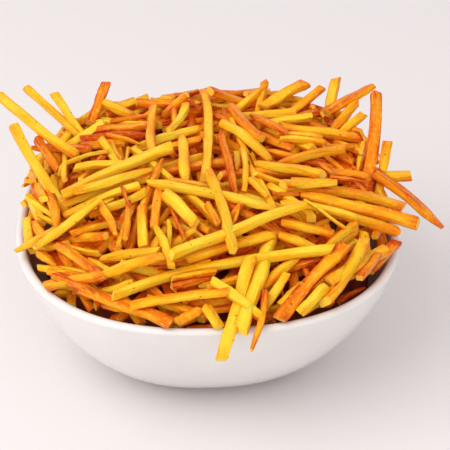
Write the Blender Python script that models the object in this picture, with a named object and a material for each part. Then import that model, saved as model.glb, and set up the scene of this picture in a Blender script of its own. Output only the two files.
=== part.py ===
"""Fried cassava sticks heaped in a rounded-square bowl.

The bowl is one turned-up wall on a flat foot. Every level of it is the same rounded square,
|x|^p + |y|^p = half^p, and only the half-width changes with height. The heap is one solid: a
smooth core that fills the bowl, with the sticks that show fused on. Each stick is let down onto
what lies under it and rests on the two highest supports either side of its middle.
Metres, +Z up. The origin is the middle of the foot's flat face.
"""
import math

import bmesh
import bpy
import numpy as np

MM = 0.001

# Bowl
RIM_HALF = 70 * MM          # half of the outer width at the lip
SQUARENESS = 2.4            # 2 is a circle, larger is squarer
BOWL_HEIGHT = 51 * MM
FOOT_HALF = 34 * MM
FOOT_HEIGHT = 2 * MM
BELLY_HALF = 36 * MM        # where the outer wall leaves the foot
WALL = 3.6 * MM
FLOOR = 5 * MM              # height of the flat floor inside
WELL_HALF = 34 * MM         # half of the floor's width
FLARE = 1.4                 # 1 is a straight wall, larger is rounder
INNER_HALF = RIM_HALF - WALL
BOWL_SIDES = 56
WALL_LEVELS = 10
LIP_STEPS = 5

# Heap
EDGE_DROP = 2.5 * MM          # how far below the lip the heap meets the wall
CROWN = 26.5 * MM             # how far the middle stands above that
FRONT_FULLNESS = 2.2        # the front slopes down, the back is a full shoulder
BACK_FULLNESS = 9.0
SHOULDER = 0.6
OVERHANG = 8 * MM           # how far the back shoulder leans out past the mouth
LEAN_BACK = 3 * MM
LEAN_RIGHT = 2 * MM
CORE_DEPTH = 4.5 * MM         # from the outside of the heap down to the core
CORE_EDGE = 43 * MM         # height where the core leaves the wall
CORE_RINGS = 7
BED_DEPTH = 16 * MM         # the first sticks are laid this far below the outside
CLEARANCE = 0.4 * MM        # from the heap to the bowl

# Sticks
SHORTEST = 16 * MM
LONGEST = 80 * MM
STICK_WIDTH = 3.4 * MM
STICK_THICKNESS = 3.0 * MM
BITE = 1.0 * MM             # how far a stick sinks into what carries it
PROUD = 2.0 * MM            # how far a loose stick may stand out of the heap
BACK_DIP = 4.5 * MM         # how much less it may at the back, where long sticks stand out
STEEPEST = 1.0              # largest slope of a loose stick
SHIFTS = (-0.4, 0.4)        # of a stick along itself, off the place drawn for it, as a share
WIDTHS = (0.5, 1.05)       # spread of the widths, as shares of the usual one
THICKNESSES = (0.7, 1.2)
SWAYS = (-0.05, 0.05)       # bow to one side, as a share of the length
ARCHES = (-0.02, 0.04)      # bow upwards
WALL_SHARE = 0.22           # outer share of the way to the wall where sticks begin to lie along it
ALONG_WALL = 0.25           # how freely they still turn at the wall itself, as a share
BED_STICKS = 190            # laid side by side, well below the outside of the heap
BED_TRIES = 7
BED_DEPTHS = (9 * MM, 14 * MM)
BED_LENGTHS = (22 * MM, 60 * MM)
BED_INSET = 4 * MM          # from the sides of the heap to the ends of its bed
EDGE_STICKS = 330           # laid along the wall, in rounds from below upwards
EDGE_ROUNDS = 6
EDGE_TRIES = 6
EDGE_AWAY = (2 * MM, 16 * MM)       # from the wall at the lip to their middles
EDGE_TURNS = (-0.6, 0.6)            # out of line with the wall, radians
EDGE_LENGTHS = (12 * MM, 30 * MM)
LOOSE_STICKS = 300
TRIES = 14                  # places tried for each stick
SHORTENING = 0.8            # how much of the longest length the first sticks may get
LIFT = 0.25 * MM            # step by which a stick is lifted off the bowl
LIFTS = 12
LAID_DEPTH = 3.4 * MM       # of the ends of the sticks that lie on the outside
RISES = 14                  # steps of LIFT a laid stick may rise over those it crosses
SLIDE = 1.47                # how far it slides to the front for each step up
SEED = 7
BENT_FROM = 30 * MM         # sticks longer than this show their bow
UNION_SOLVER = "EXACT"

# Relief: a height map of everything laid so far, in square cells
CELL = 1.0 * MM
RELIEF_HALF = 110.3 * MM
CELLS = int(2 * RELIEF_HALF / CELL) + 1

# Sticks that lie on the outside: both ends seen from above in mm, the width and the bow as shares
LAID = (
    (-60, -26, -55, -34, 1.0, 0.0),
    (-56, -35, -46, -43, 1.1, 0.0),
    (-54, -38, -40, -50, 1.2, 0.02),
    (-62, -12, -58, -24, 1.0, 0.0),
    (-39, -53, -28, -57, 1.0, 0.0),
    (52, -42, 38, -52, 1.0, 0.0),
    (-46, 28, -20, 26, 1.1, 0.03),
    (-39, 32, -20, 32, 1.0, 0.0),
    (-18, 46, -19, 10, 1.0, -0.03),
    (-57, -2, -54, -22, 1.0, 0.03),
    (-24, -20, -24, -40, 1.1, 0.0),
    (-39, -40, -19, -42, 1.0, 0.03),
    (-53, -29, -38, -46, 1.0, 0.02),
    (-42, -45, -18, -44, 1.0, 0.02),
    (-18, -11, -20, -32, 1.0, 0.0),
    (-20, -31, -15, -48, 0.9, 0.03),
    (-52, -10, -20, -3, 1.1, 0.02),
    (-52, -6, -12, 16, 1.3, 0.02),
    (-48, -6, -20, 2, 0.9, -0.02),
    (-8, 24, -8, -7, 1.3, 0.0),
    (-62, -22, -40, -15, 1.4, -0.02),
    (-16, -14, -6, -32, 1.4, 0.03),
    (2, 59, -1, -5, 1.1, 0.03),
    (7, 32, 23, 4, 1.3, 0.06),
    (18, 2, 41, -6, 1.0, 0.02),
    (26, 2, 52, 13, 1.0, 0.03),
    (30, 26, 59, 26, 1.1, 0.0),
    (26, -12, 44, -10, 1.3, 0.0),
    (-22, -6, 22, -26, 1.2, 0.03),
    (24, -32, 42, -35, 1.1, 0.0),
    (23, -38, 38, -43, 1.0, 0.03),
    (53, -30, 54, -42, 1.0, 0.0),
    (38, -51, 61, -30, 1.4, 0.02),
    (49, -46, 57, -35, 0.8, 0.0),
    (27, -60, 37, -52, 1.0, 0.0),
    (20, -62, 45, -38, 1.4, 0.02),
    (36, -56, 52, -34, 1.4, -0.03),
    (15, -61, 24, -51, 1.0, 0.0),
    (-46, -46, -16, -62, 1.3, 0.02),
    (-29, -56, 4, -56, 1.2, 0.03),
    (-58, -38, -38, -46, 1.0, 0.0),
    (-14, -62, -6, -60, 0.9, 0.0),
    (-10, -46, 20, -38, 1.1, 0.02),
    (-15, -44, 32, -24, 1.1, 0.02),
    (0, -2, 6, -44, 1.0, 0.02),
    (-35, -52, 40, -41, 1.0, 0.06),
    (-4, -60, 0, -64, 1.0, 0.0),
    (-2, -53, 14, -62, 1.0, 0.03),
)
# Sticks that stand out of the heap: buried end and free end (x, y, z) in mm, width and bow
PROPPED = (
    ((-47, 14, 71), (-76, 42, 82), 1.0, 0.03),
    ((-44, 33, 66), (-67, 57, 77), 0.8, 0.0),
    ((-44, 34, 66), (-56, 50, 78), 0.8, 0.0),
    ((-51, -8, 60), (-70, 22, 80), 1.1, 0.02),
    ((-54, 11, 67), (-62, 24, 73), 0.8, 0.0),
    ((-42, 20, 70), (-64, 24, 69), 1.0, 0.0),
    ((-42, 40, 70), (-36, 58, 77), 1.2, 0.0),
    ((-26, 43, 71), (-37, 48, 74), 1.0, 0.0),
    ((18, 52, 70), (4, 48, 78), 1.0, -0.03),
    ((12, 45, 69), (26, 55, 76), 0.9, 0.0),
    ((-14, 44, 70), (-5, 48, 77), 0.8, 0.0),
    ((22, 44, 68), (26, 58, 76), 0.8, 0.0),
    ((24, 45, 72), (42, 58, 75), 1.3, 0.02),
    ((34, 42, 70), (48, 54, 75), 1.0, 0.0),
    ((48, 41, 64), (54, 58, 77), 1.2, 0.0),
    ((48, 40, 72), (66, 48, 78), 1.5, -0.02),
    ((50, 32, 69), (60, 42, 75), 1.0, 0.0),
    ((51, 29, 67), (62, 36, 73), 1.0, 0.0),
    ((58, -1, 60), (66, 35, 82), 1.4, -0.03),
    ((62, -2, 56), (68, 15, 73), 1.0, 0.0),
    ((44, 4, 64), (76, 6, 63), 1.1, 0.0),
    ((62, 4, 66), (86, -10, 50), 1.7, 0.03),
    ((27, -16, 73), (70, -14, 62), 1.2, 0.08),
    ((32, -18, 71), (74, -22, 60), 1.4, 0.02),
    ((38, -23, 68), (66, -25, 59), 1.1, 0.02),
    ((-45, -18, 64), (-69, -24, 55), 1.1, 0.0),
    ((53, -42, 54), (66, -26, 55), 1.2, 0.0),
    ((12, -46, 64), (0, -81, 48), 1.3, 0.0),
    ((20, -36, 66), (7, -72, 53), 1.6, 0.0),
    ((16, -58, 58), (10, -78, 49), 0.7, 0.04),
)


def rounded_square(half, height, sides=BOWL_SIDES):
    """Ring of points at one height: radius = half / (|cos|^p + |sin|^p)^(1/p)."""
    turn = np.arange(sides) * 2 * math.pi / sides
    cos, sin = np.cos(turn), np.sin(turn)
    radius = half / (np.abs(cos) ** SQUARENESS + np.abs(sin) ** SQUARENESS) ** (1 / SQUARENESS)
    return np.column_stack((radius * cos, radius * sin, np.broadcast_to(height, sides)))


def half_at(x, y):
    """Half-width of the rounded square that passes through a point."""
    return (np.abs(x) ** SQUARENESS + np.abs(y) ** SQUARENESS) ** (1 / SQUARENESS)


def swell(share):
    """Rises from 0 to 1, quickly at first and upright at the end, as a bowl's side does."""
    return (1 - (1 - np.clip(share, 0, 1)) ** FLARE) ** (1 / FLARE)


def outer_half(z):
    return BELLY_HALF + (RIM_HALF - BELLY_HALF) * swell((z - FOOT_HEIGHT) / (BOWL_HEIGHT - FOOT_HEIGHT))


def inner_half(z):
    return WELL_HALF + (INNER_HALF - WELL_HALF) * swell((z - FLOOR) / (BOWL_HEIGHT - FLOOR))


def inner_height(half):
    """Height of the inner wall at a half-width: the inverse of inner_half."""
    share = np.clip((half - WELL_HALF) / (INNER_HALF - WELL_HALF), 0, 1)
    return FLOOR + (BOWL_HEIGHT - FLOOR) * (1 - (1 - share ** FLARE) ** (1 / FLARE))


def lip_height(half):
    """Top of the half-round lip."""
    across = np.clip(np.abs(half - (RIM_HALF - WALL / 2)) / (WALL / 2), 0, 1)
    return BOWL_HEIGHT - WALL / 2 * (1 - np.sqrt(1 - across ** 2))


def backness(y):
    """0 at the front of the mouth, 1 at the back."""
    return np.clip((1 + y / INNER_HALF) / 2, 0, 1)


def heap_half(y):
    """Half-width of the heap: it ends at the wall in front and leans out past it at the back."""
    return INNER_HALF + OVERHANG * backness(y)


def heap_height(x, y):
    """Outside of the heap: a dome that slopes to the front lip and leans over the back one."""
    back = backness(y)
    spread = np.clip(half_at(x, y) / heap_half(y), 0, 1)
    fullness = FRONT_FULLNESS + (BACK_FULLNESS - FRONT_FULLNESS) * back
    dome = (1 - spread ** fullness) ** SHOULDER
    return BOWL_HEIGHT - EDGE_DROP + CROWN * dome + (LEAN_BACK * y + LEAN_RIGHT * x) / INNER_HALF


def clear_of_bowl(points):
    """True for each point that keeps its distance from the bowl."""
    half = half_at(points[..., 0], points[..., 1])
    z = points[..., 2]
    above = z > lip_height(half) + CLEARANCE
    low = z < BOWL_HEIGHT
    inside = half < np.where(low, inner_half(z), INNER_HALF) - CLEARANCE
    outside = half > np.where(low, outer_half(z), RIM_HALF) + CLEARANCE
    return above | inside | outside


def cell(x, y):
    """Column and row of the height map under each point."""
    column = np.rint((x + RELIEF_HALF) / CELL).astype(int)
    row = np.rint((y + RELIEF_HALF) / CELL).astype(int)
    return np.clip(column, 0, CELLS - 1), np.clip(row, 0, CELLS - 1)


class Relief:
    """Height map of the bowl and of everything laid in it so far, and of the roof above it."""

    def __init__(self):
        axis = np.arange(CELLS) * CELL - RELIEF_HALF
        self.x, self.y = np.meshgrid(axis, axis, indexing="ij")
        half = half_at(self.x, self.y)
        outside = heap_height(self.x, self.y)
        bowl = np.where(half < INNER_HALF, inner_height(half), lip_height(half))
        bed = np.where(half < INNER_HALF - CLEARANCE, outside - BED_DEPTH, 0)
        self.z = np.where(half < RIM_HALF, np.maximum(bowl, bed), 0)
        self.roof = outside + PROUD - BACK_DIP * backness(self.y) ** 2
        self.mouth = half < INNER_HALF

    def read(self, x, y):
        return self.z[cell(x, y)]

    def lay(self, stick):
        """Raise the map to the stick's upper face."""
        cells, z = stick.footprint(0.5)
        np.maximum.at(self.z, cells, z)

    def cover(self, stick):
        """Lower the roof to the stick's lower face."""
        cells, z = stick.footprint(-0.5)
        np.minimum.at(self.roof, cells, z + BITE)

    def emptiest(self, share):
        """A place in the mouth, the likelier the more room is left above it."""
        room = np.clip(self.roof - self.z, 0, None) ** 2 * self.mouth
        total = np.cumsum(room)
        place = int(np.searchsorted(total, share * total[-1]))
        return self.x.flat[place], self.y.flat[place]


class Stick:
    """A thin square stick with a slight bow. Its length and places are measured in plan."""

    def __init__(self, x, y, heading, length, width, thickness, sway=0.0, arch=0.0):
        self.x, self.y, self.heading, self.length = x, y, heading, length
        self.width, self.thickness = width, thickness
        self.sway, self.arch = sway, arch
        self.z, self.slope = 0.0, 0.0

    def point(self, along, across, up):
        """A point of the stick: each share runs from -0.5 to 0.5 along, across or upwards."""
        bow = 1 / 3 - (2 * along) ** 2
        cos, sin = math.cos(self.heading), math.sin(self.heading)
        level = 1 / math.sqrt(1 + self.slope ** 2)
        run = along * self.length - up * self.thickness * self.slope * level
        side = across * self.width + self.sway * bow
        x = self.x + run * cos - side * sin
        y = self.y + run * sin + side * cos
        z = self.z + along * self.length * self.slope + self.arch * bow + up * self.thickness * level
        return x, y, z

    def footprint(self, up):
        """Cells of the map under the stick, and the height of its upper or lower face there."""
        along = np.linspace(-0.5, 0.5, int(self.length / CELL * 2) + 2)
        x, y, z = self.point(along[:, None], np.linspace(-0.5, 0.5, 8)[None, :], up)
        return cell(x, y), np.broadcast_to(z, x.shape)

    def skin(self):
        """Points spread over the whole surface."""
        along, across, up = np.meshgrid(np.linspace(-0.5, 0.5, 31), (-0.5, 0, 0.5), (-0.5, 0, 0.5))
        return np.stack(self.point(along, across, up), -1)

    def rest_on(self, relief):
        """Let the stick down until it lies on its highest supports either side of its middle."""
        along = np.linspace(-0.5, 0.5, int(self.length / CELL) | 1)
        across = np.array((-0.4, 0, 0.4))
        self.z, self.slope = 0.0, 0.0
        x, y, bow = self.point(along[:, None], across[None, :], 0)
        lift = relief.read(x, y).max(1) - bow[:, 0] + self.thickness / 2 - BITE
        middle = len(along) // 2
        run = along * self.length
        near, far = run[:middle + 1, None], run[None, middle:]
        span = np.where(far > near, far - near, 1)
        height = (lift[:middle + 1, None] * far - lift[None, middle:] * near) / span
        height[middle, 0] = lift[middle]
        first, second = divmod(int(np.argmax(height.round(7))), middle + 1)
        rise = lift[middle + second] - lift[first]
        self.slope = round(float(rise / span[first, second]), 5)
        self.z = round(float(height[first, second]), 6)
        return self.lifted_clear()

    def lifted_clear(self):
        """Lift the stick a little at a time until it is clear of the bowl, and say if it is."""
        for _ in range(LIFTS):
            if self.clear():
                return True
            self.z = round(self.z + LIFT, 6)
        return False

    def follow(self, depth, reach=0.7):
        """Lie along the outside of the heap at a depth below it, measured at a share of the length."""
        x, y, _ = self.point(np.array((-0.5, 0.5)) * reach, 0, 0)
        low, high = heap_height(x, y) - depth
        self.z = round(float(low + high) / 2, 6)
        self.slope = round(float((high - low) / (reach * self.length)), 5)

    def clear(self):
        return bool(clear_of_bowl(self.skin()).all())

    def inside(self, beyond=PROUD):
        """True where both ends keep within the heap, or no farther beyond it than given."""
        x, y, _ = self.point(np.array((-0.5, 0.5)), 0, 0)
        return bool((half_at(x, y) < heap_half(y) + beyond).all())

    def room(self, relief):
        """Mean room left above the stick, or None where it is steep, too high or out of the heap."""
        x, y, z = self.point(np.linspace(-0.5, 0.5, 21), 0, 0.5)
        left = relief.roof[cell(x, y)] - z
        if abs(self.slope) > STEEPEST or left.min() < 0 or not self.inside():
            return None
        return float(left.mean())


def between(draw, span):
    """A number drawn evenly from low to high."""
    low, high = span
    return low + (high - low) * draw.random()


def drawn_stick(draw, relief, length):
    """A stick of a given length with a place, a heading and a build of its own."""
    x, y = relief.emptiest(draw.random())
    inward = np.clip((1 - half_at(x, y) / INNER_HALF) / WALL_SHARE, ALONG_WALL, 1)
    heading = math.atan2(x, -y) + math.pi * (draw.random() - 0.5) * inward
    shift = between(draw, SHIFTS) * length
    width = STICK_WIDTH * between(draw, WIDTHS)
    thickness = STICK_THICKNESS * between(draw, THICKNESSES)
    sway = between(draw, SWAYS) * length
    arch = between(draw, ARCHES) * length
    x, y = x + shift * math.cos(heading), y + shift * math.sin(heading)
    return Stick(x, y, heading, length, width, thickness, sway, arch)


def stick_between(start, end, share, bow):
    """A stick from one end to the other, seen from above in mm, bowed to its left by a share."""
    run, side = (end[0] - start[0]) * MM, (end[1] - start[1]) * MM
    sway = bow * math.hypot(run, side)
    x = (start[0] + end[0]) / 2 * MM - 2 / 3 * bow * side
    y = (start[1] + end[1]) / 2 * MM + 2 / 3 * bow * run
    return Stick(x, y, math.atan2(side, run), math.hypot(run, side), STICK_WIDTH * share,
                 STICK_THICKNESS, sway)


def laid_sticks():
    """Sticks on the outside, in order: each rises over those it crosses and slides to the front."""
    crossed = Relief()
    crossed.z[:] = 0
    sticks = []
    for x1, y1, x2, y2, share, bow in LAID:
        stick = stick_between((x1, y1), (x2, y2), share, bow)
        stick.follow(LAID_DEPTH, 1.0)
        for _ in range(RISES):
            cells, z = stick.footprint(-0.5)
            if (crossed.z[cells] - z).max() < BITE and stick.clear():
                break
            stick.z = round(stick.z + LIFT, 6)
            stick.y = round(stick.y - LIFT * SLIDE, 6)
        if not stick.lifted_clear():
            raise ValueError(f"the stick from {x1}, {y1} can't lie clear of the bowl")
        crossed.lay(stick)
        sticks.append(stick)
    return sticks


def propped_sticks():
    sticks = []
    for root, tip, share, bow in PROPPED:
        stick = stick_between(root, tip, share, bow)
        stick.z = (root[2] + tip[2]) / 2 * MM
        stick.slope = (tip[2] - root[2]) * MM / stick.length
        if not stick.clear():
            raise ValueError(f"the stick from {root} cuts the bowl")
        sticks.append(stick)
    return sticks


def bed_sticks(relief, draw):
    """Sticks that follow the heap's outside at a depth, side by side."""
    sticks = []
    for _ in range(BED_STICKS):
        length = between(draw, BED_LENGTHS)
        depth = between(draw, BED_DEPTHS)
        best, most = None, -1.0
        for _ in range(BED_TRIES):
            stick = drawn_stick(draw, relief, length)
            stick.follow(depth)
            x, y, z = stick.point(np.linspace(-0.5, 0.5, 13), 0, 0)
            free = float((z - relief.read(x, y)).mean())
            if free > most and stick.inside(-BED_INSET) and stick.clear():
                best, most = stick, free
        if best:
            relief.lay(best)
            sticks.append(best)
    return sticks


def edge_sticks(relief, draw):
    """Short sticks along the wall, where longer ones don't fit, from below upwards."""
    sticks = []
    for turn in np.linspace(0, 2 * math.pi * EDGE_ROUNDS, EDGE_STICKS, endpoint=False):
        best, most = None, -1.0
        for _ in range(EDGE_TRIES):
            half = INNER_HALF - between(draw, EDGE_AWAY)
            radius = half / half_at(math.cos(turn), math.sin(turn))
            x, y = radius * math.cos(turn), radius * math.sin(turn)
            heading = math.atan2(x, -y) + between(draw, EDGE_TURNS)
            stick = Stick(x, y, heading, between(draw, EDGE_LENGTHS), STICK_WIDTH * between(draw, WIDTHS),
                          STICK_THICKNESS * between(draw, THICKNESSES))
            if stick.rest_on(relief):
                room = stick.room(relief)
                if room is not None and room > most:
                    best, most = stick, room
        if best:
            relief.lay(best)
            sticks.append(best)
    return sticks


def loose_sticks(relief, draw):
    """Fill the heap up to its roof: each stick takes the deepest of the places tried for it."""
    sticks = []
    for reach in np.linspace(LONGEST, SHORTEST, LOOSE_STICKS):
        length = between(draw, (SHORTEST, SHORTEST + SHORTENING * reach))
        best, most = None, -1.0
        for _ in range(TRIES):
            stick = drawn_stick(draw, relief, length)
            if stick.rest_on(relief):
                room = stick.room(relief)
                if room is not None and room > most:
                    best, most = stick, room
        if best:
            relief.lay(best)
            sticks.append(best)
    return sticks


def heap_of_sticks():
    """All sticks: the bed, the loose ones, those laid on top and those that stand out."""
    laid, propped = laid_sticks(), propped_sticks()
    relief = Relief()
    for stick in laid + propped:
        relief.cover(stick)
    draw = np.random.default_rng(SEED)
    bed = bed_sticks(relief, draw)
    loose = edge_sticks(relief, draw) + loose_sticks(relief, draw)
    print(len(bed), "bed,", len(loose), "loose,", len(laid), "laid,", len(propped), "propped")
    return bed, loose, laid, propped


def plain_material(name, colour, roughness):
    material = bpy.data.materials.new(name)
    material.use_nodes = True
    shader = material.node_tree.nodes["Principled BSDF"]
    shader.inputs["Base Color"].default_value = (*colour, 1)
    shader.inputs["Roughness"].default_value = roughness
    return material


def add_object(name, mesh, material=None):
    item = bpy.data.objects.new(name, mesh)
    bpy.context.scene.collection.objects.link(item)
    if material:
        mesh.materials.append(material)
    return item


def closed_by_rings(name, rings):
    """One closed body from a stack of equal rings, both ends capped."""
    shape = bmesh.new()
    loops = [[shape.verts.new(point) for point in ring] for ring in rings]
    count = len(loops[0])
    for below, above in zip(loops, loops[1:]):
        for k in range(count):
            after = (k + 1) % count
            shape.faces.new((below[k], below[after], above[after], above[k]))
    shape.faces.new(reversed(loops[0]))
    shape.faces.new(loops[-1])
    bmesh.ops.recalc_face_normals(shape, faces=shape.faces)
    mesh = bpy.data.meshes.new(name)
    shape.to_mesh(mesh)
    shape.free()
    return mesh


def wall_heights(low, high):
    """Levels of a wall, closer together near its foot, where it curves most."""
    share = (np.arange(WALL_LEVELS + 1) / WALL_LEVELS) ** 1.6
    return low + (high - low) * share


def bowl_rings():
    """Foot, outer wall, half-round lip, inner wall and floor."""
    rings = [rounded_square(FOOT_HALF, 0), rounded_square(FOOT_HALF, FOOT_HEIGHT)]
    for z in wall_heights(FOOT_HEIGHT, BOWL_HEIGHT - WALL / 2):
        rings.append(rounded_square(outer_half(z), z))
    for turn in np.arange(1, LIP_STEPS) * math.pi / LIP_STEPS:
        half = RIM_HALF - WALL / 2 + WALL / 2 * math.cos(turn)
        rings.append(rounded_square(half, BOWL_HEIGHT - WALL / 2 + WALL / 2 * math.sin(turn)))
    for z in wall_heights(FLOOR, BOWL_HEIGHT - WALL / 2)[::-1]:
        rings.append(rounded_square(inner_half(z), z))
    return rings


def core_rings():
    """Up the inner wall at a clearance, then over the top, a depth below the heap's outside."""
    rings = []
    for z in wall_heights(FLOOR, BOWL_HEIGHT - WALL / 2):
        if z < CORE_EDGE:
            rings.append(rounded_square(inner_half(z) - CLEARANCE, z + CLEARANCE))
    edge = half_at(*rings[-1][0, :2])
    for share in 1 - (np.arange(1, CORE_RINGS + 1) / (CORE_RINGS + 1)) ** 1.5:
        ring = rounded_square(edge * share, 0)
        ring[:, 2] = heap_height(ring[:, 0], ring[:, 1]) - CORE_DEPTH
        rings.append(ring)
    return rings


def prism(stick):
    """Four-sided stick, square at both ends, and bent in the middle if it is long."""
    corners = ((-0.5, -0.5), (0.5, -0.5), (0.5, 0.5), (-0.5, 0.5))
    stations = (-0.5, 0.0, 0.5) if stick.length > BENT_FROM else (-0.5, 0.5)
    rings = []
    for along in stations:
        rings.append([stick.point(along, across, up) for across, up in corners])
    return closed_by_rings("stick", rings)


def keep_largest_body(item):
    """Drop loose scraps that touch nothing."""
    shape = bmesh.new()
    shape.from_mesh(item.data)
    left = set(shape.verts)
    bodies = []
    while left:
        body, edge = set(), {left.pop()}
        while edge:
            body |= edge
            edge = {link.other_vert(vert) for vert in edge for link in vert.link_edges} - body
        left -= body
        bodies.append(body)
    bodies.sort(key=len)
    print("heap bodies", [len(body) for body in bodies])
    for body in bodies[:-1]:
        bmesh.ops.delete(shape, geom=list(body), context="VERTS")
    shape.to_mesh(item.data)
    shape.free()


def build_bowl():
    mesh = closed_by_rings("bowl", bowl_rings())
    mesh.shade_smooth()
    mesh.set_sharp_from_angle(angle=math.radians(40))
    return add_object("bowl", mesh, plain_material("glazed_porcelain", (0.83, 0.80, 0.77), 0.15))


def build_heap():
    _, loose, laid, propped = heap_of_sticks()
    sticks = loose + laid + propped

    heap = add_object("heap", closed_by_rings("heap", core_rings()),
                      plain_material("fried_cassava", (0.75, 0.42, 0.05), 0.5))
    pieces = bpy.data.collections.new("pieces")
    for stick in sticks:
        pieces.objects.link(bpy.data.objects.new("stick", prism(stick)))
    union = heap.modifiers.new("union", "BOOLEAN")
    union.operation = "UNION"
    union.operand_type = "COLLECTION"
    union.collection = pieces
    union.solver = UNION_SOLVER
    bpy.context.view_layer.update()
    joined = bpy.data.meshes.new_from_object(heap.evaluated_get(bpy.context.evaluated_depsgraph_get()))
    heap.modifiers.remove(union)
    heap.data = joined
    for piece in list(pieces.objects):
        bpy.data.objects.remove(piece)
    bpy.data.collections.remove(pieces)
    keep_largest_body(heap)
    print("sticks", len(sticks), "heap faces", len(heap.data.polygons))
    return heap


def main():
    for item in list(bpy.data.objects):
        bpy.data.objects.remove(item)
    build_bowl()
    build_heap()


main()
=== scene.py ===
# %% [markdown]
# # Fried cassava sticks in a porcelain bowl
# A snack bowl is heaped with cassava that was cut into thin square sticks and deep fried. The solids
# that carry the part are already there: a bowl and a plain heap. Here each of them gets its real
# surface. Everything is in metres, +Z up, and the origin is the middle of the bowl's foot.

# %% Load the frame
import math

import bpy
import numpy as np
from mathutils import Matrix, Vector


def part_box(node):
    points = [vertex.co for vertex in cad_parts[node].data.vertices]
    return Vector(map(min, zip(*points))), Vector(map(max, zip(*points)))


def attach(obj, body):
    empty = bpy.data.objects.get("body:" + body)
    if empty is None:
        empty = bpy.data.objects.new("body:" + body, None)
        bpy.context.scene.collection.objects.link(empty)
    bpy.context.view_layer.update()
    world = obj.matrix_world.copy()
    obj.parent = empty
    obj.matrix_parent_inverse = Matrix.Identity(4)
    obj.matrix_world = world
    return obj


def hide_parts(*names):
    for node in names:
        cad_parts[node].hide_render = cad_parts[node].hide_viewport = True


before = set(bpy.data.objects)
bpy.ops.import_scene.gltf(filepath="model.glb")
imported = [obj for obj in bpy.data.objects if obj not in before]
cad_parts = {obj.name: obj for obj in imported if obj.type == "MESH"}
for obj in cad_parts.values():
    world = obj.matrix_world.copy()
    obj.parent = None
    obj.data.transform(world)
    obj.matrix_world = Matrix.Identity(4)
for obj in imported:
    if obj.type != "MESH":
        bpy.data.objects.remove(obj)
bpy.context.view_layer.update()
MM = 0.001
print("nodes:", sorted(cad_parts))

# %% [markdown]
# ## The camera
# A snack is looked at from a chair, so the camera looks down about a third of a right angle, with a
# long lens. It is aimed a little beside the middle of the bowl, at the height where the heap begins.

# %% Camera
CAMERA_SIDE = -3.4          # degrees round the bowl, 0 is straight in front
CAMERA_RISE = 34.3          # degrees above the table
CAMERA_ROLL = 0.5
CAMERA_DISTANCE = 600 * MM
ORBIT_HEIGHT = 30.7 * MM    # height of the point the distance is measured from
AIM = (7.2 * MM, 7.8 * MM, 42.7 * MM)
LENS = 128                  # on a 36 mm sensor


def direction(side, rise):
    """Unit vector towards a viewer: an azimuth about +Z counted from -Y, then an elevation."""
    turn, tilt = math.radians(side), math.radians(rise)
    return np.array((math.sin(turn) * math.cos(tilt), -math.cos(turn) * math.cos(tilt), math.sin(tilt)))


def place_facing(item, place, target, roll=0.0):
    """Stand an item at a place with its -Z axis on a target: right = up x back, then roll about back."""
    back = np.subtract(place, target)
    back = back / np.linalg.norm(back)
    right = np.cross((0, 0, 1), back)
    right = right / np.linalg.norm(right)
    up = np.cross(back, right)
    cos, sin = math.cos(math.radians(roll)), math.sin(math.radians(roll))
    matrix = np.eye(4)
    matrix[:3, 0] = cos * right + sin * up
    matrix[:3, 1] = cos * up - sin * right
    matrix[:3, 2] = back
    matrix[:3, 3] = place
    item.matrix_world = Matrix(matrix.tolist())
    bpy.context.scene.collection.objects.link(item)


camera_place = (0, 0, ORBIT_HEIGHT) + CAMERA_DISTANCE * direction(CAMERA_SIDE, CAMERA_RISE)
camera = bpy.data.objects.new("camera", bpy.data.cameras.new("camera"))
camera.data.lens = LENS
camera.data.clip_start = 10 * MM
place_facing(camera, camera_place, AIM, CAMERA_ROLL)
bpy.context.scene.camera = camera
print("camera at", camera_place.round(3))

# %% [markdown]
# ## Helpers for meshes
# Every new piece is a sheet of points worked out with numpy, so one helper is enough: it takes a grid
# of points, closes it round one way, and fans each end to a pole. All faces of all sheets are written
# at once with `foreach_set`, which is far quicker than adding faces one by one.

# %% Grids to meshes


def grid_faces(rows, columns):
    """Corner numbers of the quads of a grid that closes round its columns."""
    row, column = np.meshgrid(np.arange(rows - 1), np.arange(columns), indexing="ij")
    here = row * columns + column
    after = row * columns + (column + 1) % columns
    return np.stack((here, after, after + columns, here + columns), -1).reshape(-1, 4)


def pole_faces(rows, columns):
    """Triangles from the first ring to a pole numbered after the grid, and from the last to the next."""
    column = np.arange(columns)
    after = (column + 1) % columns
    first = np.stack((after, column, np.full(columns, rows * columns)), -1)
    last_row = (rows - 1) * columns
    last = np.stack((last_row + column, last_row + after, np.full(columns, rows * columns + 1)), -1)
    return np.concatenate((first, last))


def write_mesh(name, points, quads, triangles):
    """A smooth mesh from arrays of points, quads and triangles."""
    mesh = bpy.data.meshes.new(name)
    corners = np.concatenate((quads.ravel(), triangles.ravel()))
    starts = np.concatenate((np.arange(len(quads)) * 4, len(quads) * 4 + np.arange(len(triangles)) * 3))
    mesh.vertices.add(len(points))
    mesh.vertices.foreach_set("co", points.astype(np.float32).ravel())
    mesh.loops.add(len(corners))
    mesh.loops.foreach_set("vertex_index", corners.astype(np.int32))
    mesh.polygons.add(len(starts))
    mesh.polygons.foreach_set("loop_start", starts.astype(np.int32))
    mesh.update(calc_edges=True)
    mesh.validate()
    mesh.shade_smooth()
    return mesh


def closed_mesh(name, rings, poles):
    """A mesh through rings of points, closed by a pole before the first and one after the last."""
    rows, columns = rings.shape[:2]
    points = np.concatenate((rings.reshape(-1, 3), poles))
    return write_mesh(name, points, grid_faces(rows, columns), pole_faces(rows, columns))


def add_piece(name, mesh, material, node):
    """Put a finished mesh in the scene, in place of a CAD node and riding with the body."""
    mesh.materials.append(material)
    piece = bpy.data.objects.new(name, mesh)
    bpy.context.scene.collection.objects.link(piece)
    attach(piece, "root")
    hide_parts(node)
    print(name, len(mesh.polygons), "faces")


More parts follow.
